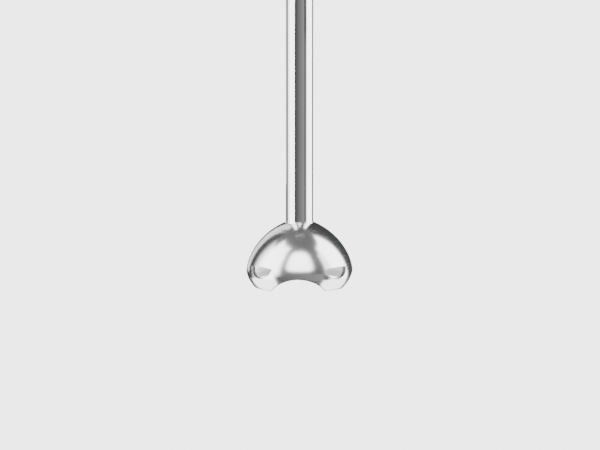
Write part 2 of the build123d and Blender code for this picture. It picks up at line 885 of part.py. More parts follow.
with BuildPart() as cord_clamp:
    with Locations((0, 10.6, 377.6)):
        Box(18.0, 5.6, 2.8)
        with Locations((6.5, 0, 0), (-6.5, 0, 0)):
            Cylinder(1.1, 6, mode=Mode.SUBTRACT)
save(cord_clamp, "cord_clamp")

with BuildPart() as clamp_screws:
    with BuildSketch(Plane.XY.offset(374.8)):
        with Locations((6.5, 10.6), (-6.5, 10.6)):
            Circle(1.1)
    extrude(amount=9.2)
    with BuildSketch(Plane.XY.offset(374.6)):
        with Locations((6.5, 10.6), (-6.5, 10.6)):
            Circle(2.1)
    extrude(amount=1.6)
save(clamp_screws, "clamp_screws")

with BuildPart() as speed_ring:
    ring_outline = outline(
        (post_radius + running, dial_bottom),
        (dial_radius - 0.8, dial_bottom),
        (dial_radius, dial_bottom + 0.8),
        (dial_radius, dial_top - 0.8),
        (dial_radius - 0.8, dial_top),
        (post_radius + running, dial_top),
    )
    revolve(ring_outline, axis=Axis.Z)
    with Locations((0, 0, 395.6)):
        with PolarLocations(dial_radius + 0.2, 40):
            Cylinder(0.75, 5.6, mode=Mode.SUBTRACT)
save(speed_ring, "speed_ring")

with BuildPart() as top_cap:
    with BuildSketch(Plane.XZ):
        with BuildLine():
            Line((6.4, 405.0), (23.6, 405.0))
            ThreePointArc((23.6, 405.0), (22.6, 407.2), (19.0, 408.6))
            Line((19.0, 408.6), (6.4, 409.6))
            Line((6.4, 409.6), (6.4, 405.0))
        make_face()
    revolve(axis=Axis.Z)
save(top_cap, "top_cap")

with BuildPart() as cord_gland:
    gland_outline = outline(
        (gland_bore, 399.0),
        (8.0, 399.0),
        (8.0, 402.0),
        (6.4, 403.0),
        (6.4, 410.4),
        (5.4, gland_top),
        (gland_bore, gland_top),
    )
    revolve(gland_outline, axis=Axis.Z)
save(cord_gland, "cord_gland")
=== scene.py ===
"""The look of a hand-held immersion blender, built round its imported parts. Lengths are metres."""

import json
import logging
import math
from dataclasses import dataclass
from enum import Enum

import bpy
import numpy as np
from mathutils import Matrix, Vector

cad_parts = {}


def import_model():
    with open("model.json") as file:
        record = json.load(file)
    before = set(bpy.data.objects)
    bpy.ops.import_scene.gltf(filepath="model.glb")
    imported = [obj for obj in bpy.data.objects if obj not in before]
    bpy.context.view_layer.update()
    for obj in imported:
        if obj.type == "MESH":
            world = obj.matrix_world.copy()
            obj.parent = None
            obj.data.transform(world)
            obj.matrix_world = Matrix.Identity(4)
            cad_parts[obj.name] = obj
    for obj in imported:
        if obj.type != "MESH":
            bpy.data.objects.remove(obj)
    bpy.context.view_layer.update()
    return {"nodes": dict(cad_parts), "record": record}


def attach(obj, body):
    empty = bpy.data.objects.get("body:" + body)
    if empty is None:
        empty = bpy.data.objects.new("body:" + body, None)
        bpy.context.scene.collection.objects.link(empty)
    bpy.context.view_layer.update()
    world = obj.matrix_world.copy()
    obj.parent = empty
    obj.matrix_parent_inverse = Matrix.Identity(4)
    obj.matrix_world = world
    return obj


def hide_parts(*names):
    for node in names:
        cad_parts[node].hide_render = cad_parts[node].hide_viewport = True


log = logging.getLogger("immersion_blender")
MM = 0.001


# ------------------------------------------------------------------------------------ finishes
class Grain(Enum):
    """How the fine texture of a finish runs."""

    NONE = "none"
    PEBBLE = "pebble"
    ROUND_BRUSH = "round_brush"


@dataclass(frozen=True)
class Finish:
    """One surface finish, made as a Principled material."""

    name: str
    colour: tuple[float, float, float]
    roughness: float
    metallic: float = 0.0
    coat: float = 0.0
    specular: float = 0.5
    grain: Grain = Grain.NONE
    grain_size: float = 0.0006
    grain_depth: float = 0.00002
    wear: float = 0.0

    def material(self) -> bpy.types.Material:
        """Make the material, or return the one already made.

        Returns:
            The material of this finish.
        """
        title = f"{self.name}_finish"
        known = bpy.data.materials.get(title)
        if known:
            return known
        made = bpy.data.materials.new(title)
        made.use_nodes = True
        shader = made.node_tree.nodes["Principled BSDF"]
        shader.inputs["Base Color"].default_value = (*self.colour, 1.0)
        shader.inputs["Roughness"].default_value = self.roughness
        shader.inputs["Metallic"].default_value = self.metallic
        shader.inputs["Specular IOR Level"].default_value = self.specular
        shader.inputs["Coat Weight"].default_value = self.coat
        shader.inputs["Coat Roughness"].default_value = 0.12
        if self.grain is not Grain.NONE or self.wear > 0.0:
            self.add_texture(made.node_tree, shader)
        return made

    def add_texture(self, tree: bpy.types.NodeTree, shader: bpy.types.Node) -> None:
        """Add the grain as a bump of noise, and the wear as noise in the roughness.

        Args:
            tree: The material's nodes.
            shader: Its Principled shader.
        """
        nodes, links = tree.nodes, tree.links
        place = nodes.new("ShaderNodeTexCoord")
        noise = nodes.new("ShaderNodeTexNoise")
        noise.inputs["Scale"].default_value = 1.0 / self.grain_size
        noise.inputs["Detail"].default_value = 3.0
        if self.grain is Grain.ROUND_BRUSH:
            stretch = nodes.new("ShaderNodeMapping")
            stretch.inputs["Scale"].default_value = (0.02, 0.02, 1.0)
            links.new(place.outputs["Object"], stretch.inputs["Vector"])
            links.new(stretch.outputs["Vector"], noise.inputs["Vector"])
        else:
            links.new(place.outputs["Object"], noise.inputs["Vector"])
        if self.grain is not Grain.NONE:
            bump = nodes.new("ShaderNodeBump")
            bump.inputs["Strength"].default_value = 0.35
            bump.inputs["Distance"].default_value = self.grain_depth
            links.new(noise.outputs["Fac"], bump.inputs["Height"])
            links.new(bump.outputs["Normal"], shader.inputs["Normal"])
        if self.wear > 0.0:
            smear = nodes.new("ShaderNodeTexNoise")
            smear.inputs["Scale"].default_value = 55.0
            smear.inputs["Detail"].default_value = 4.0
            spread = nodes.new("ShaderNodeMapRange")
            spread.inputs["To Min"].default_value = max(self.roughness - self.wear, 0.02)
            spread.inputs["To Max"].default_value = self.roughness + self.wear
            links.new(place.outputs["Object"], smear.inputs["Vector"])
            links.new(smear.outputs["Fac"], spread.inputs["Value"])
            links.new(spread.outputs["Result"], shader.inputs["Roughness"])


POLISHED_STEEL = Finish("polished_steel", (0.80, 0.80, 0.81), 0.06, 1.0)
SATIN_STEEL = Finish("satin_steel", (0.76, 0.76, 0.77), 0.20, 1.0, wear=0.03)
BELL_STEEL = Finish("bell_steel", (0.82, 0.82, 0.83), 0.17, 1.0)
BELL_INSIDE = Finish("bell_inside", (0.86, 0.86, 0.87), 0.36, 1.0)
# The vent lips' steel is darkened to paint a dark reflection along the vent edges.
VENT_LIP_PAINTED_DARK = Finish("vent_lip_painted_dark", (0.30, 0.30, 0.31), 0.22, 1.0)
BRUSHED_SLEEVE = Finish(
    "brushed_sleeve", (0.70, 0.70, 0.71), 0.27, 1.0, grain=Grain.ROUND_BRUSH, grain_size=0.0004
)
PRINT_WHITE = Finish("print_white", (0.60, 0.60, 0.60), 0.5, specular=0.2)
PRINT_DARK = Finish("print_dark", (0.006, 0.006, 0.006), 0.5, specular=0.2)
DIAL_STEEL = Finish("dial_steel", (0.34, 0.34, 0.35), 0.30, 1.0)

SLOT_FINISHES: dict[str, Finish] = {
    "polished_steel": POLISHED_STEEL,
    "satin_steel": SATIN_STEEL,
    "blade_steel": Finish("blade_steel", (0.62, 0.62, 0.63), 0.22, 1.0, wear=0.05),
    "bearing_bronze": Finish("bearing_bronze", (0.50, 0.34, 0.17), 0.45, 1.0),
    "seal_rubber": Finish("seal_rubber", (0.005, 0.005, 0.005), 0.55, specular=0.2),
    "dark_plastic": Finish(
        "dark_plastic",
        (0.006, 0.006, 0.007),
        0.46,
        specular=0.2,
        grain=Grain.PEBBLE,
        grain_size=0.0005,
        wear=0.04,
    ),
    "soft_grip": Finish(
        "soft_grip",
        (0.0035, 0.0035, 0.004),
        0.62,
        specular=0.14,
        grain=Grain.PEBBLE,
        grain_size=0.0004,
        wear=0.05,
    ),
    "gloss_black": Finish("gloss_black", (0.003, 0.003, 0.004), 0.14, specular=0.35),
    "grey_plastic": Finish("grey_plastic", (0.03, 0.031, 0.033), 0.40, specular=0.3),
    "white_plastic": Finish("white_plastic", (0.42, 0.41, 0.37), 0.45, specular=0.3),
    "motor_steel": Finish("motor_steel", (0.32, 0.32, 0.33), 0.42, 1.0, wear=0.06),
    "copper": Finish("copper", (0.70, 0.28, 0.11), 0.32, 1.0, coat=0.4),
    "brass": Finish("brass", (0.74, 0.55, 0.24), 0.3, 1.0),
    "carbon": Finish("carbon", (0.02, 0.02, 0.02), 0.5),
    "bracket_metal": Finish("bracket_metal", (0.55, 0.55, 0.56), 0.45, 1.0, wear=0.05),
    "circuit_green": Finish("circuit_green", (0.02, 0.16, 0.06), 0.3, coat=0.3),
    "fixing_steel": Finish("fixing_steel", (0.5, 0.5, 0.5), 0.35, 1.0),
}


# ------------------------------------------------------------------------------------ mesh helpers
def grid_faces(rows: int, columns: int, closed: bool) -> np.ndarray:
    """Quads of a grid whose vertices run row by row.

    Args:
        rows: Number of vertex rows.
        columns: Number of vertices in a row.
        closed: Whether the last column joins the first.

    Returns:
        One row of four vertex numbers for each quad.
    """
    across = columns if closed else columns - 1
    row, column = np.meshgrid(np.arange(rows - 1), np.arange(across), indexing="ij")
    following = (column + 1) % columns
    corners = (
        row * columns + column,
        row * columns + following,
        (row + 1) * columns + following,
        (row + 1) * columns + column,
    )
    return np.stack(corners, axis=-1).reshape(-1, 4)


def smooth_step(value: np.ndarray) -> np.ndarray:
    """Rise from 0 to 1 as 3v^2 - 2v^3, held at 0 below and at 1 above."""
    held = np.clip(value, 0.0, 1.0)
    return held * held * (3 - 2 * held)


def make_piece(name: str, points: np.ndarray, faces: np.ndarray, finish: Finish) -> bpy.types.Object:
    """Make a smooth mesh object at the origin.

    Args:
        name: Name of the object.
        points: Vertices, one row of three metres each.
        faces: Quads as rows of vertex numbers.
        finish: Finish of the whole piece.

    Returns:
        The new object, linked to the scene.
    """
    mesh = bpy.data.meshes.new(name)
    mesh.from_pydata(points.reshape(-1, 3), [], faces.tolist())
    mesh.validate()
    mesh.shade_smooth()
    mesh.materials.append(finish.material())
    made = bpy.data.objects.new(name, mesh)
    bpy.context.scene.collection.objects.link(made)
    return made


def read_points(mesh: bpy.types.Mesh) -> np.ndarray:
    """The mesh's vertices, one row of three metres each."""
    flat = np.empty(len(mesh.vertices) * 3)
    mesh.vertices.foreach_get("co", flat)
    return flat.reshape(-1, 3)


def spread_to(shape: tuple[int, ...], *values: np.ndarray) -> np.ndarray:
    """Stretch each coordinate over a whole grid and stack them into points."""
    return np.stack([np.broadcast_to(value, shape) for value in values], axis=-1)


def lathe(name: str, profile: np.ndarray, columns: int, finish: Finish) -> bpy.types.Object:
    """Turn a profile of (radius, height) rows about Z.

    Args:
        name: Name of the object.
        profile: Profile points in metres, in order.
        columns: Number of steps round the turn.
        finish: Finish of the piece.

    Returns:
        The new object.
    """
    angle = np.linspace(0.0, 2 * math.pi, columns, endpoint=False)
    radius, height = profile[:, 0:1], profile[:, 1:2]
    shape = (len(profile), columns)
    turned = spread_to(shape, radius * np.cos(angle), radius * np.sin(angle), height)
    return make_piece(name, turned, grid_faces(*shape, True), finish)


# ------------------------------------------------------------------------------------ the bell
@dataclass
class Bell:
    """The stainless skirt round the blade: four lobes, four arches in the rim and four vents.

    All sizes are in millimetres.
    """

    radius: float = 35.0
    rise: float = 34.6
    equator: float = 8.5
    fullness: float = 1.7
    taper: float = 0.05
    wall: float = 1.2
    lobe_height: float = 11.0
    lobe_depth: float = 1.9
    lobe_foot_depth: float = 0.3
    crown_base: float = 37.0
    crown_top: float = 40.7
    inner_top: float = 39.2
    arch_half: float = 17.5
    arch_height: float = 8.6
    rim_radius: float = 33.5
    rim_blend: float = 0.55
    vent_half: float = 10.2
    vent_low: float = 7.8
    vent_high: float = 15.6
    vent_corner: float = 14.8
    vent_middle: float = 12.6
    vent_sharpness: float = 2.6
    vent_skin: float = 36.0
    neck_radius: float = 9.06
    neck_top: float = 42.3
    columns: int = 600
    outer_rows: int = 92
    rim_rows: int = 9
    inner_rows: int = 44

    def reach(self, angle: np.ndarray, height: np.ndarray, inset: float) -> np.ndarray:
        """Radius of the skirt: a superellipse above the equator, a slow taper below, plus the lobes.

        Args:
            angle: Angles round Z in radians.
            height: Heights in millimetres.
            inset: Distance in from the outer skin.

        Returns:
            Radii in millimetres.
        """
        above = np.clip((height - self.equator) / (self.rise - inset), 0.0, 0.9999)
        domed = (1 - above**self.fullness) ** (1 / self.fullness)
        below = np.clip((self.equator - height) / self.equator, 0.0, 2.0)
        valley = (self.radius - inset) * domed * (1 - self.taper * below**2)
        low_fade = np.clip((self.lobe_height - height) / self.lobe_height, 0.0, 1.0) ** 2
        high = (height - self.lobe_height) / (self.crown_base - self.lobe_height)
        high_fade = np.clip(high, 0.0, 1.0) ** 2
        depth = (self.lobe_depth - (self.lobe_depth - self.lobe_foot_depth) * low_fade) * (1 - high_fade)
        return valley + depth * (1 - np.cos(4 * angle)) / 2

    def rim_height(self, angle: np.ndarray) -> np.ndarray:
        """Height of the rim's edge: a circle's arc over each valley, blended into level feet by a softplus.

        Args:
            angle: Angles round Z in radians.

        Returns:
            Heights in millimetres.
        """
        turned = (angle + math.pi / 4) % (math.pi / 2) - math.pi / 4
        across = np.abs(self.rim_radius * np.sin(turned))
        bow = (self.arch_half**2 + self.arch_height**2) / (2 * self.arch_height)
        arch = np.sqrt(np.maximum(bow**2 - across**2, 0.0)) - (bow - self.arch_height)
        return self.rim_blend * np.log1p(np.exp(np.clip(arch / self.rim_blend, -40.0, 40.0)))

    def vent_distance(self, across: np.ndarray, height: np.ndarray) -> np.ndarray:
        """Signed distance to a vent's half-moon edge, the smooth greater of two circles' distances.

        Args:
            across: Distance along the skin from the lobe's middle, in millimetres.
            height: Heights in millimetres.

        Returns:
            Distances in millimetres, negative in the opening; the two corners are slightly rounded.
        """
        crest = self.vent_high - self.vent_corner
        top_bow = (self.vent_half**2 + crest**2) / (2 * crest)
        sag = self.vent_corner - self.vent_low
        low_bow = (self.vent_half**2 + sag**2) / (2 * sag)
        over = np.hypot(across, height - (self.vent_high - top_bow)) - top_bow
        under = np.hypot(across, height - (self.vent_low + low_bow)) - low_bow
        return np.logaddexp(self.vent_sharpness * over, self.vent_sharpness * under) / self.vent_sharpness

    def to_points(self, angle: np.ndarray, radius: np.ndarray, height: np.ndarray) -> np.ndarray:
        """Points in metres from angles, radii and heights in millimetres."""
        return np.stack((radius * np.cos(angle), radius * np.sin(angle), height), axis=-1) * MM

    def skirt(self) -> tuple[np.ndarray, np.ndarray, np.ndarray]:
        """The skin as one sheet, down the outside from the crown, round the rim and up the inside.

        Returns:
            The angle, height and inset of every vertex of a grid; the radii follow from them.
        """
        angle = np.linspace(0.0, 2 * math.pi, self.columns, endpoint=False)[None, :]
        half = self.wall / 2
        edge = self.rim_height(angle) + half
        climb = np.sin(np.linspace(0, math.pi / 2, self.outer_rows))[::-1, None]
        outside = edge + (self.crown_top - edge) * climb
        turn = np.linspace(0, math.pi, self.rim_rows + 2)[1:-1, None]
        rim = edge - half * np.sin(turn)
        rise = np.sin(np.linspace(0, math.pi / 2, self.inner_rows))[:, None]
        inside = edge + (self.inner_top - edge) * rise
        heights = np.concatenate((outside, rim, inside), axis=0)
        rolled = np.broadcast_to(half * (1 - np.cos(turn)), rim.shape)
        inset = np.concatenate((np.zeros_like(outside), rolled, np.full_like(inside, self.wall)), axis=0)
        return np.broadcast_to(angle, heights.shape).copy(), heights, inset

    def draw_to_edge(
        self, across: np.ndarray, height: np.ndarray, opening: np.ndarray
    ) -> tuple[np.ndarray, np.ndarray]:
        """Draw the vertices inside a vent out onto its edge, down the slope of the signed distance.

        Args:
            across: Distance along the skin from the lobe's middle.
            height: Heights.
            opening: Which vertices are inside a vent.

        Returns:
            The new distances and heights.
        """
        step = 0.02
        for _ in range(3):
            here = self.vent_distance(across, height)
            slope_x = (self.vent_distance(across + step, height) - here) / step
            slope_z = (self.vent_distance(across, height + step) - here) / step
            steep = np.maximum(slope_x**2 + slope_z**2, 0.05)
            move = np.where(opening, here / steep, 0.0)
            across = across - move * slope_x
            height = height - move * slope_z
        return across, height

    def skin(self) -> bpy.types.Object:
        """Make the skirt: the sheet without the faces that lie wholly inside a vent.

        Returns:
            The skirt, with the inside's own finish in its second slot.
        """
        angle, height, inset = self.skirt()
        lobe = (angle % (math.pi / 2)) - math.pi / 4
        across = lobe * self.vent_skin
        in_wall = (inset < 0.01) | (inset > self.wall - 0.01)
        opening = (self.vent_distance(across, height) < 0) & in_wall
        faces = grid_faces(*angle.shape, True)
        kept = faces[~opening.reshape(-1)[faces].all(axis=1)]
        across, height = self.draw_to_edge(across, height, opening)
        angle = angle + np.where(opening, across / self.vent_skin - lobe, 0.0)
        radius = self.reach(angle, height, 0.0)
        inner_radius = self.reach(angle, height, self.wall)
        radius = radius + (inner_radius - radius) * inset / self.wall
        points = self.to_points(angle, radius, height)
        used, packed = np.unique(kept.reshape(-1), return_inverse=True)
        made = make_piece("bell_skirt", points.reshape(-1, 3)[used], packed.reshape(-1, 4), BELL_STEEL)
        made.data.materials.append(BELL_INSIDE.material())
        within = inset.reshape(-1)[kept].min(axis=1) > self.wall - 0.01
        made.data.polygons.foreach_set("material_index", within.astype(np.int32))
        return made

    def build(self) -> list[bpy.types.Object]:
        """Make the skirt, the vents' rolled lips and the neck, in that order."""
        return [self.skin(), self.lips(), self.neck()]

    def lips(self) -> bpy.types.Object:
        """The rolled lips that line the four vents: one rolled section carried round the vent's edge.

        Returns:
            All four lips as one piece.
        """
        way = np.linspace(0, 2 * math.pi, 220, endpoint=False)
        # The edge is found along each direction from the vent's middle by halving.
        near, far = np.zeros_like(way), np.full_like(way, 13.0)
        for _ in range(40):
            middle = (near + far) / 2
            outside = self.vent_distance(middle * np.cos(way), self.vent_middle + middle * np.sin(way)) > 0
            far = np.where(outside, middle, far)
            near = np.where(outside, near, middle)
        # Each row is (how far in from the outer skin, how far the edge is drawn into the opening).
        roll = np.array(
            ((0.0, -0.02), (0.06, 0.12), (0.22, 0.26), (0.5, 0.36), (1.2, 0.42), (1.9, 0.44), (2.35, 0.36))
            + ((2.6, 0.1), (2.62, -0.25), (2.45, -0.55), (2.0, -0.72), (1.15, -0.8))
        )
        depth, draw = roll[:, 0][:, None], roll[:, 1][:, None]
        size = near[None, :] - draw
        across = size * np.cos(way)
        height = self.vent_middle + size * np.sin(way)
        blocks = []
        for quarter in range(4):
            angle = across / self.vent_skin + math.pi / 4 + quarter * math.pi / 2
            radius = self.reach(angle, height, 0.0) - depth
            blocks.append(self.to_points(angle, radius, height).reshape(-1, 3))
        one = grid_faces(len(roll), len(way), True)
        count = len(roll) * len(way)
        faces = np.concatenate([one + count * quarter for quarter in range(4)])
        # The lips carry the darkened steel: a painted dark reflection round each vent.
        return make_piece("vent_lips", np.concatenate(blocks), faces, VENT_LIP_PAINTED_DARK)

    def neck(self) -> bpy.types.Object:
        """The crown's fillet up to the tube and the crown's underside, as a turned profile."""
        start = float(self.reach(np.array(0.0), np.array(self.crown_top), 0.0))
        bend = np.linspace(0, 1, 14)
        radius = start + (self.neck_radius - start) * (1 - (1 - bend) ** 2)
        height = self.crown_top + (self.neck_top - self.crown_top) * bend**1.6
        curve = np.stack((radius, height), axis=-1)
        under = np.array(((9.02, 42.34), (9.005, 42.0), (9.005, 39.3), (11.2, 39.18)))
        return lathe("bell_neck", np.concatenate((curve, under)) * MM, 256, BELL_STEEL)


@dataclass
class Tube:
    """The straight drive tube with its polished skin. Sizes are in millimetres."""

    radius: float = 9.0
    wall: float = 0.8
    low: float = 38.2
    high: float = 212.0

    def build(self) -> bpy.types.Object:
        """Make the tube: up its outside, down its bore and back to the start."""
        inner = self.radius - self.wall
        heights = np.linspace(self.low, self.high, 60)
        up = np.stack((np.full_like(heights, self.radius), heights), axis=-1)
        down = np.stack((np.full_like(heights, inner), heights[::-1]), axis=-1)
        profile = np.concatenate((up, down, up[:1])) * MM
        return lathe("drive_tube", profile, 256, POLISHED_STEEL)


# ------------------------------------------------------------------------------------ handle trim
class Surface(Enum):
    """The kind of surface a printed bar lies on."""

    FLAT = "flat"
    ROUND = "round"


@dataclass
class HandleTrim:
    """Printed marks and moulded ribs that dress the handle. Sizes are in millimetres."""

    power_height: float = 371.0
    turbo_height: float = 349.0
    face: float = 25.7
    dial_radius: float = 24.6
    grip_radius: float = 24.2
    digits: tuple[str, ...] = ("1", "2", "3", "4", "5")
    digit_size: float = 4.2
    digit_turn: float = 24.0
    digit_height: float = 401.4
    index_height: float = 388.2
    ring_radius: float = 2.6
    print_lift: float = 0.02
    rib_proud: float = 0.55
    rib_half: float = 0.9
    rib_heights: tuple[float, ...] = (352.0, 357.0, 362.0, 367.0, 372.0, 377.0, 382.0)

    def mark(self, name: str, text: str, size: float) -> bpy.types.Object:
        """Make a flat printed mark as a text mesh facing -Y.

        Args:
            name: Name of the object.
            text: What it says.
            size: Height of the letters in millimetres.

        Returns:
            The mark, centred on the origin.
        """
        curve = bpy.data.curves.new(name, "FONT")
        curve.body = text
        curve.size = size * MM
        curve.align_x = "CENTER"
        curve.align_y = "CENTER"
        curve.extrude = 0.03 * MM
        curve.resolution_u = 6
        holder = bpy.data.objects.new(name, curve)
        bpy.context.scene.collection.objects.link(holder)
        mesh = bpy.data.meshes.new_from_object(holder.evaluated_get(bpy.context.evaluated_depsgraph_get()))
        bpy.data.objects.remove(holder)
        flat = read_points(mesh)
        upright = np.stack((flat[:, 0], -flat[:, 2], flat[:, 1]), axis=-1)
        mesh.vertices.foreach_set("co", upright.reshape(-1))
        mesh.materials.clear()
        mesh.materials.append(PRINT_DARK.material())
        made = bpy.data.objects.new(name, mesh)
        bpy.context.scene.collection.objects.link(made)
        return made

    def shift(self, piece: bpy.types.Object, turn: float, radius: float, height: float) -> None:
        """Move a mark's vertices out to a radius, wrap them round Z and turn them.

        Args:
            piece: The mark.
            turn: Angle from the front in degrees, counted to the right seen from the front.
            radius: Radius of the surface it sits on, in millimetres.
            height: Height of its middle in millimetres.
        """
        mesh = piece.data
        flat = read_points(mesh)
        reach = radius * MM - flat[:, 1]
        angle = flat[:, 0] / (radius * MM) + math.radians(turn) - math.pi / 2
        moved = np.stack((reach * np.cos(angle), reach * np.sin(angle), flat[:, 2] + height * MM), axis=-1)
        mesh.vertices.foreach_set("co", moved.reshape(-1))
        mesh.update()

    def button_mark(self, name: str, height: float, thick: float, broken: bool) -> bpy.types.Object:
        """A printed ring on a button, whole or broken at the top.

        Args:
            name: Name of the object.
            height: Height of the button's middle in millimetres.
            thick: Width of the ring's line in millimetres.
            broken: Whether the ring is open at the top.

        Returns:
            The ring, on the button's face.
        """
        gap = 0.6 if broken else 0.0
        way = np.linspace(math.pi / 2 + gap, math.pi / 2 + 2 * math.pi - gap, 72)
        sizes = np.array((self.ring_radius - thick / 2, self.ring_radius + thick / 2))[:, None]
        front = np.full((2, len(way)), -(self.face + self.print_lift))
        ring = np.stack((sizes * np.cos(way), front, height + sizes * np.sin(way)), axis=-1) * MM
        return make_piece(name, ring, grid_faces(2, len(way), False), PRINT_WHITE)

    def bar(
        self, name: str, height: float, size: tuple[float, float], radius: float, surface: Surface
    ) -> bpy.types.Object:
        """A small upright white bar on the front: a flat strip, or one bent to a circle about Z.

        Args:
            name: Name of the object.
            height: Height of its middle.
            size: Its width and height.
            radius: Distance of the surface in front of the axis.
            surface: Whether it lies on a flat or a round surface.

        Returns:
            The bar.
        """
        across = np.linspace(-0.5, 0.5, 7)[None, :] * size[0]
        level = height + np.array((-0.5, 0.5))[:, None] * size[1]
        reach = radius + self.print_lift
        front = -np.sqrt(reach**2 - across**2) if surface is Surface.ROUND else -reach
        points = spread_to((2, 7), across, front, level) * MM
        return make_piece(name, points, grid_faces(2, 7, False), PRINT_WHITE)

    def ribs(self) -> bpy.types.Object:
        """Low raised bands round the back and sides of the soft grip, each a half sine in section.

        Returns:
            All the bands as one piece.
        """
        way = np.linspace(math.radians(-35), math.radians(215), 160)
        hump = np.linspace(0, math.pi, 9)[:, None]
        fade = np.clip(np.minimum(way - way[0], way[-1] - way) / 0.18, 0.0, 1.0) ** 0.5
        shape = (len(hump), len(way))
        blocks = []
        for height in self.rib_heights:
            radius = self.grip_radius - 0.05 + self.rib_proud * np.sin(hump) * fade
            level = height - self.rib_half * np.cos(hump)
            block = spread_to(shape, radius * np.cos(way), radius * np.sin(way), level) * MM
            blocks.append(block.reshape(-1, 3))
        one = grid_faces(*shape, False)
        faces = [one + len(hump) * len(way) * number for number in range(len(blocks))]
        return make_piece(
            "grip_ribs", np.concatenate(blocks), np.concatenate(faces), SLOT_FINISHES["soft_grip"]
        )

    def build(self) -> None:
        """Make every mark and rib, and let each ride the body it is on."""
        power = self.button_mark("power_mark", self.power_height, 0.55, True)
        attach(power, "power_button")
        stroke_height = self.power_height + 2.3
        stroke = self.bar("power_stroke", stroke_height, (0.55, 2.6), self.face, Surface.FLAT)
        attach(stroke, "power_button")
        index = self.bar("dial_index", self.index_height, (0.8, 2.6), self.grip_radius, Surface.ROUND)
        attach(index, "motor_unit")
        turbo = self.button_mark("turbo_mark", self.turbo_height, 0.9, False)
        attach(turbo, "turbo_button")
        for number, text in enumerate(self.digits):
            digit = self.mark(f"dial_digit_{text}", text, self.digit_size)
            self.shift(digit, -self.digit_turn * number, self.dial_radius + 0.01, self.digit_height)
            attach(digit, "speed_ring")
        ribs = self.ribs()
        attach(ribs, "motor_unit")
        log.info("handle trim: marks, digits and %d ribs", len(self.rib_heights))


# ------------------------------------------------------------------------------------ studio
@dataclass(frozen=True)
class Panel:
    """One light panel or dark flag on a drum round the object, seen only in reflections.

    Angles are degrees from the front, to the right seen from the front; lengths are metres. The
    glow runs evenly from the first value to the second, and a ramp or rise fades it in from dark.
    """

    name: str
    start: float
    end: float
    low: float
    high: float
    glow: tuple[float, float]
    distance: float = 1.3
    ramp: tuple[float, float] = (0.0, 0.0)
    rise: float = 0.0
    dark: float = 0.07

    def strength(self, way: np.ndarray, level: np.ndarray) -> np.ndarray:
        """Glow over the panel, fading smoothly at the edges that have a ramp.

        Args:
            way: Angles round the drum in degrees.
            level: Heights in metres.

        Returns:
            The glow at every angle and height.
        """
        even = self.glow[0] + (self.glow[1] - self.glow[0]) * (way - self.start) / (self.end - self.start)
        near = smooth_step((way - self.start) / self.ramp[0]) if self.ramp[0] else 1.0
        far = smooth_step((self.end - way) / self.ramp[1]) if self.ramp[1] else 1.0
        up = smooth_step((level - self.low) / self.rise) if self.rise else 1.0
        glow = self.dark + (even - self.dark) * near * far * up
        return np.broadcast_to(glow, (level.size, way.size))


@dataclass(frozen=True)
class FloorFlag:
    """A level dark ring sector below the object, seen only in reflections."""

    name: str
    start: float
    end: float
    near: float
    far: float
    glow: float


@dataclass(frozen=True)
class HungSoftbox:
    """A soft-edged light hung over the front, as a patch of a sphere. Angles are degrees."""

    name: str = "front_softbox"
    middle: float = 1.0
    half_width: float = 23.5
    low: float = 19.0
    high: float = 64.0
    distance: float = 1.22
    glow: float = 5.6
    edge_glow: float = 0.15
    edge_width: float = 0.28


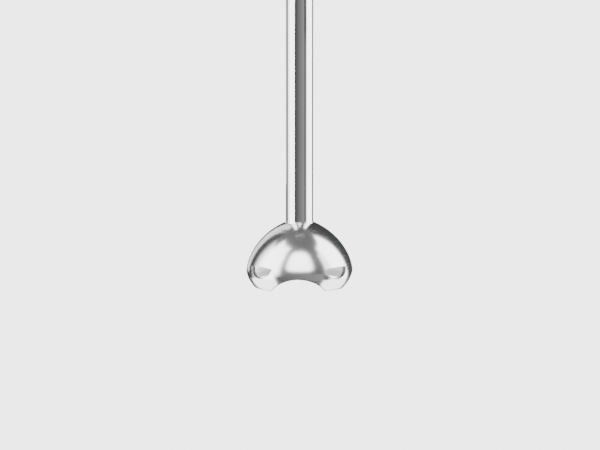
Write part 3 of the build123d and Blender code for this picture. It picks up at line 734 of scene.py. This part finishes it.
@dataclass
class Studio:
    """Floor, even light, the panels and flags that the steel mirrors, and the camera."""

    floor_height: float = -1.7
    flag_height: float = -0.41
    camera_distance: float = 3.0
    elevation: float = 10.0
    azimuth: float = 1.5
    view_width: float = 0.3951
    aim: tuple[float, float, float] = (0.0003, 0.0, 0.039)
    panels: tuple[Panel, ...] = (
        Panel("left_softbox", -126, -41, -0.42, 1.75, (6.0, 6.0), ramp=(42, 0)),
        Panel("front_flag", -41, 44, -0.42, 0.30, (0.07, 0.42)),
        Panel("left_wing", -41, -26, 0.0, 1.75, (6.0, 5.0), 1.25, ramp=(0, 12), rise=0.4),
        Panel("left_crown", -105, -27, 1.6, 3.1, (6.0, 5.0), 1.25, ramp=(20, 13)),
        Panel("right_wing", 42, 60, 0.0, 1.75, (3.0, 5.0), 1.25, ramp=(18, 0), rise=0.4),
        Panel("thin_flag", 44, 55, -0.42, 1.5, (0.07, 0.15)),
        Panel("right_softbox", 53, 133, -0.42, 2.6, (6.0, 6.0), ramp=(22, 8)),
        Panel("right_back_flag", 133, 170, -0.42, 2.4, (0.07, 0.05)),
        Panel("left_back_flag", -143, -126, -0.42, 1.9, (0.07, 0.06)),
        Panel("back_flag", 168, 200, -0.42, 2.4, (0.08, 0.08)),
        Panel("left_back_light", -160, -143, -0.15, 2.0, (2.0, 1.7)),
        Panel("left_back_low", -160, -143, -0.42, -0.15, (0.07, 0.07)),
    )
    floor_flags: tuple[FloorFlag, ...] = (
        FloorFlag("front_floor_flag", -40, 42, 0.10, 1.3, 0.17),
        FloorFlag("under_flag", 0, 360, 0.005, 0.10, 0.05),
        FloorFlag("back_floor_flag", 130, 232, 0.10, 1.3, 0.12),
    )
    softbox: HungSoftbox = HungSoftbox()
    open_glow: float = 4.9
    mirrored_glow: float = 0.17

    def glow_material(self) -> bpy.types.Material:
        """Emission whose strength is stored on the panel's vertices."""
        made = bpy.data.materials.get("panel_glow") or bpy.data.materials.new("panel_glow")
        made.use_nodes = True
        nodes, links = made.node_tree.nodes, made.node_tree.links
        nodes.clear()
        out = nodes.new("ShaderNodeOutputMaterial")
        light = nodes.new("ShaderNodeEmission")
        stored = nodes.new("ShaderNodeAttribute")
        stored.attribute_name = "glow"
        links.new(stored.outputs["Fac"], light.inputs["Strength"])
        links.new(light.outputs["Emission"], out.inputs["Surface"])
        return made

    def hide_from_camera(self, piece: bpy.types.Object) -> None:
        """Let a panel show in reflections only."""
        piece.visible_camera = False
        piece.visible_diffuse = False
        piece.visible_shadow = False
        piece.visible_transmission = False

    def sheet(self, name: str, points: np.ndarray, glow: np.ndarray) -> None:
        """Make one panel from a grid of points and its glow.

        Args:
            name: Name of the panel.
            points: Grid of points, rows by columns by three.
            glow: Strength at every point.
        """
        rows, columns = points.shape[:2]
        mesh = bpy.data.meshes.new(name)
        mesh.from_pydata(points.reshape(-1, 3), [], grid_faces(rows, columns, False).tolist())
        stored = mesh.attributes.new("glow", "FLOAT", "POINT")
        stored.data.foreach_set("value", np.ascontiguousarray(glow.reshape(-1), dtype=np.float32))
        mesh.materials.append(self.glow_material())
        made = bpy.data.objects.new(name, mesh)
        bpy.context.scene.collection.objects.link(made)
        self.hide_from_camera(made)

    def build_panels(self) -> None:
        """Stand the upright panels and flags round the object, each a piece of a cylinder."""
        for panel in self.panels:
            way = np.radians(np.linspace(panel.start, panel.end, 61))
            level = np.linspace(panel.low, panel.high, 25)[:, None]
            points = spread_to((25, 61), panel.distance * np.sin(way), -panel.distance * np.cos(way), level)
            self.sheet(panel.name, points, panel.strength(np.degrees(way)[None, :], level))

    def hang_softbox(self) -> None:
        """Hang the softbox over the front; its glow fades out towards a rounded rectangle's edge."""
        box = self.softbox
        first, last = box.middle - box.half_width, box.middle + box.half_width
        way = np.radians(np.linspace(first, last, 48))
        lift = np.radians(np.linspace(box.low, box.high, 46))[:, None]
        sides = (np.cos(lift) * np.sin(way), -np.cos(lift) * np.cos(way), np.sin(lift))
        across = np.abs(np.degrees(way) - box.middle) / box.half_width
        upward = np.abs(np.degrees(lift) - (box.low + box.high) / 2) / ((box.high - box.low) / 2)
        edge = (across**4 + upward**4) ** 0.25
        glow = box.edge_glow + box.glow * smooth_step((1.0 - edge) / box.edge_width)
        self.sheet(box.name, box.distance * spread_to((46, 48), *sides), glow)

    def lay_floor_flags(self) -> None:
        """Lay the level flags below the object, each a sector of a flat ring."""
        for flag in self.floor_flags:
            way = np.radians(np.linspace(flag.start, flag.end, 49))
            size = np.linspace(flag.near, flag.far, 8)[:, None]
            points = spread_to((8, 49), size * np.sin(way), -size * np.cos(way), self.flag_height)
            self.sheet(flag.name, points, np.full((8, 49), flag.glow))

    def build_floor(self) -> None:
        """A large plain pale floor well below the hanging part."""
        side = 30.0
        mesh = bpy.data.meshes.new("floor")
        z = self.floor_height
        corners = [(-side, -side, z), (side, -side, z), (side, side, z), (-side, side, z)]
        mesh.from_pydata(corners, [], [(0, 1, 2, 3)])
        made = bpy.data.objects.new("floor", mesh)
        bpy.context.scene.collection.objects.link(made)
        mesh.materials.append(Finish("floor_paint", (0.86, 0.86, 0.86), 0.9).material())

    def build_light(self) -> None:
        """Even soft light from all round, far dimmer where a surface mirrors it."""
        world = bpy.data.worlds.new("studio")
        bpy.context.scene.world = world
        world.use_nodes = True
        nodes, links = world.node_tree.nodes, world.node_tree.links
        base = nodes["Background"]
        base.inputs["Color"].default_value = (1.0, 1.0, 1.0, 1.0)
        path = nodes.new("ShaderNodeLightPath")
        level = nodes.new("ShaderNodeMapRange")
        level.inputs["To Min"].default_value = self.open_glow
        level.inputs["To Max"].default_value = self.mirrored_glow
        links.new(path.outputs["Is Glossy Ray"], level.inputs["Value"])
        links.new(level.outputs["Result"], base.inputs["Strength"])

    def build_camera(self) -> None:
        """A long lens a little above the part, looking slightly down."""
        lens = bpy.data.cameras.new("camera")
        lens.sensor_width = 36.0
        lens.lens = 36.0 * self.camera_distance / self.view_width
        lens.clip_end = 100.0
        made = bpy.data.objects.new("camera", lens)
        bpy.context.scene.collection.objects.link(made)
        lift, turn = math.radians(self.elevation), math.radians(self.azimuth)
        away = Vector((math.sin(turn) * math.cos(lift), -math.cos(turn) * math.cos(lift), math.sin(lift)))
        made.location = Vector(self.aim) + away * self.camera_distance
        made.rotation_euler = away.to_track_quat("Z", "Y").to_euler()
        bpy.context.scene.camera = made

    def build(self) -> None:
        """Set up everything round the object."""
        self.build_floor()
        self.build_panels()
        self.hang_softbox()
        self.lay_floor_flags()
        self.build_light()
        self.build_camera()
        log.info("studio ready")


# ------------------------------------------------------------------------------------ assembly
def dress_parts(frame: dict) -> None:
    """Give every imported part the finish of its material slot.
    """
    slots = {entry["node"]: entry["material_slot"] for entry in frame["record"]["subparts"]}
    for node, piece in frame["nodes"].items():
        finish = SLOT_FINISHES[slots[node]]
        if node == "steel_sleeve":
            finish = BRUSHED_SLEEVE
        elif node == "speed_ring":
            finish = DIAL_STEEL
        piece.data.materials.clear()
        piece.data.materials.append(finish.material())
    log.info("dressed %d parts", len(frame["nodes"]))


def main() -> None:
    """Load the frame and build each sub-assembly."""
    logging.basicConfig(level=logging.INFO, format="%(name)s: %(message)s")
    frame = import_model()
    dress_parts(frame)
    pieces = Bell().build()
    for piece in pieces:
        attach(piece, "foot")
        log.info("%s: %d vertices", piece.name, len(piece.data.vertices))
    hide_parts("bell")
    tube = Tube().build()
    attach(tube, "foot")
    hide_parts("shaft_tube")
    HandleTrim().build()
    Studio().build()


if __name__ == "__main__":
    main()
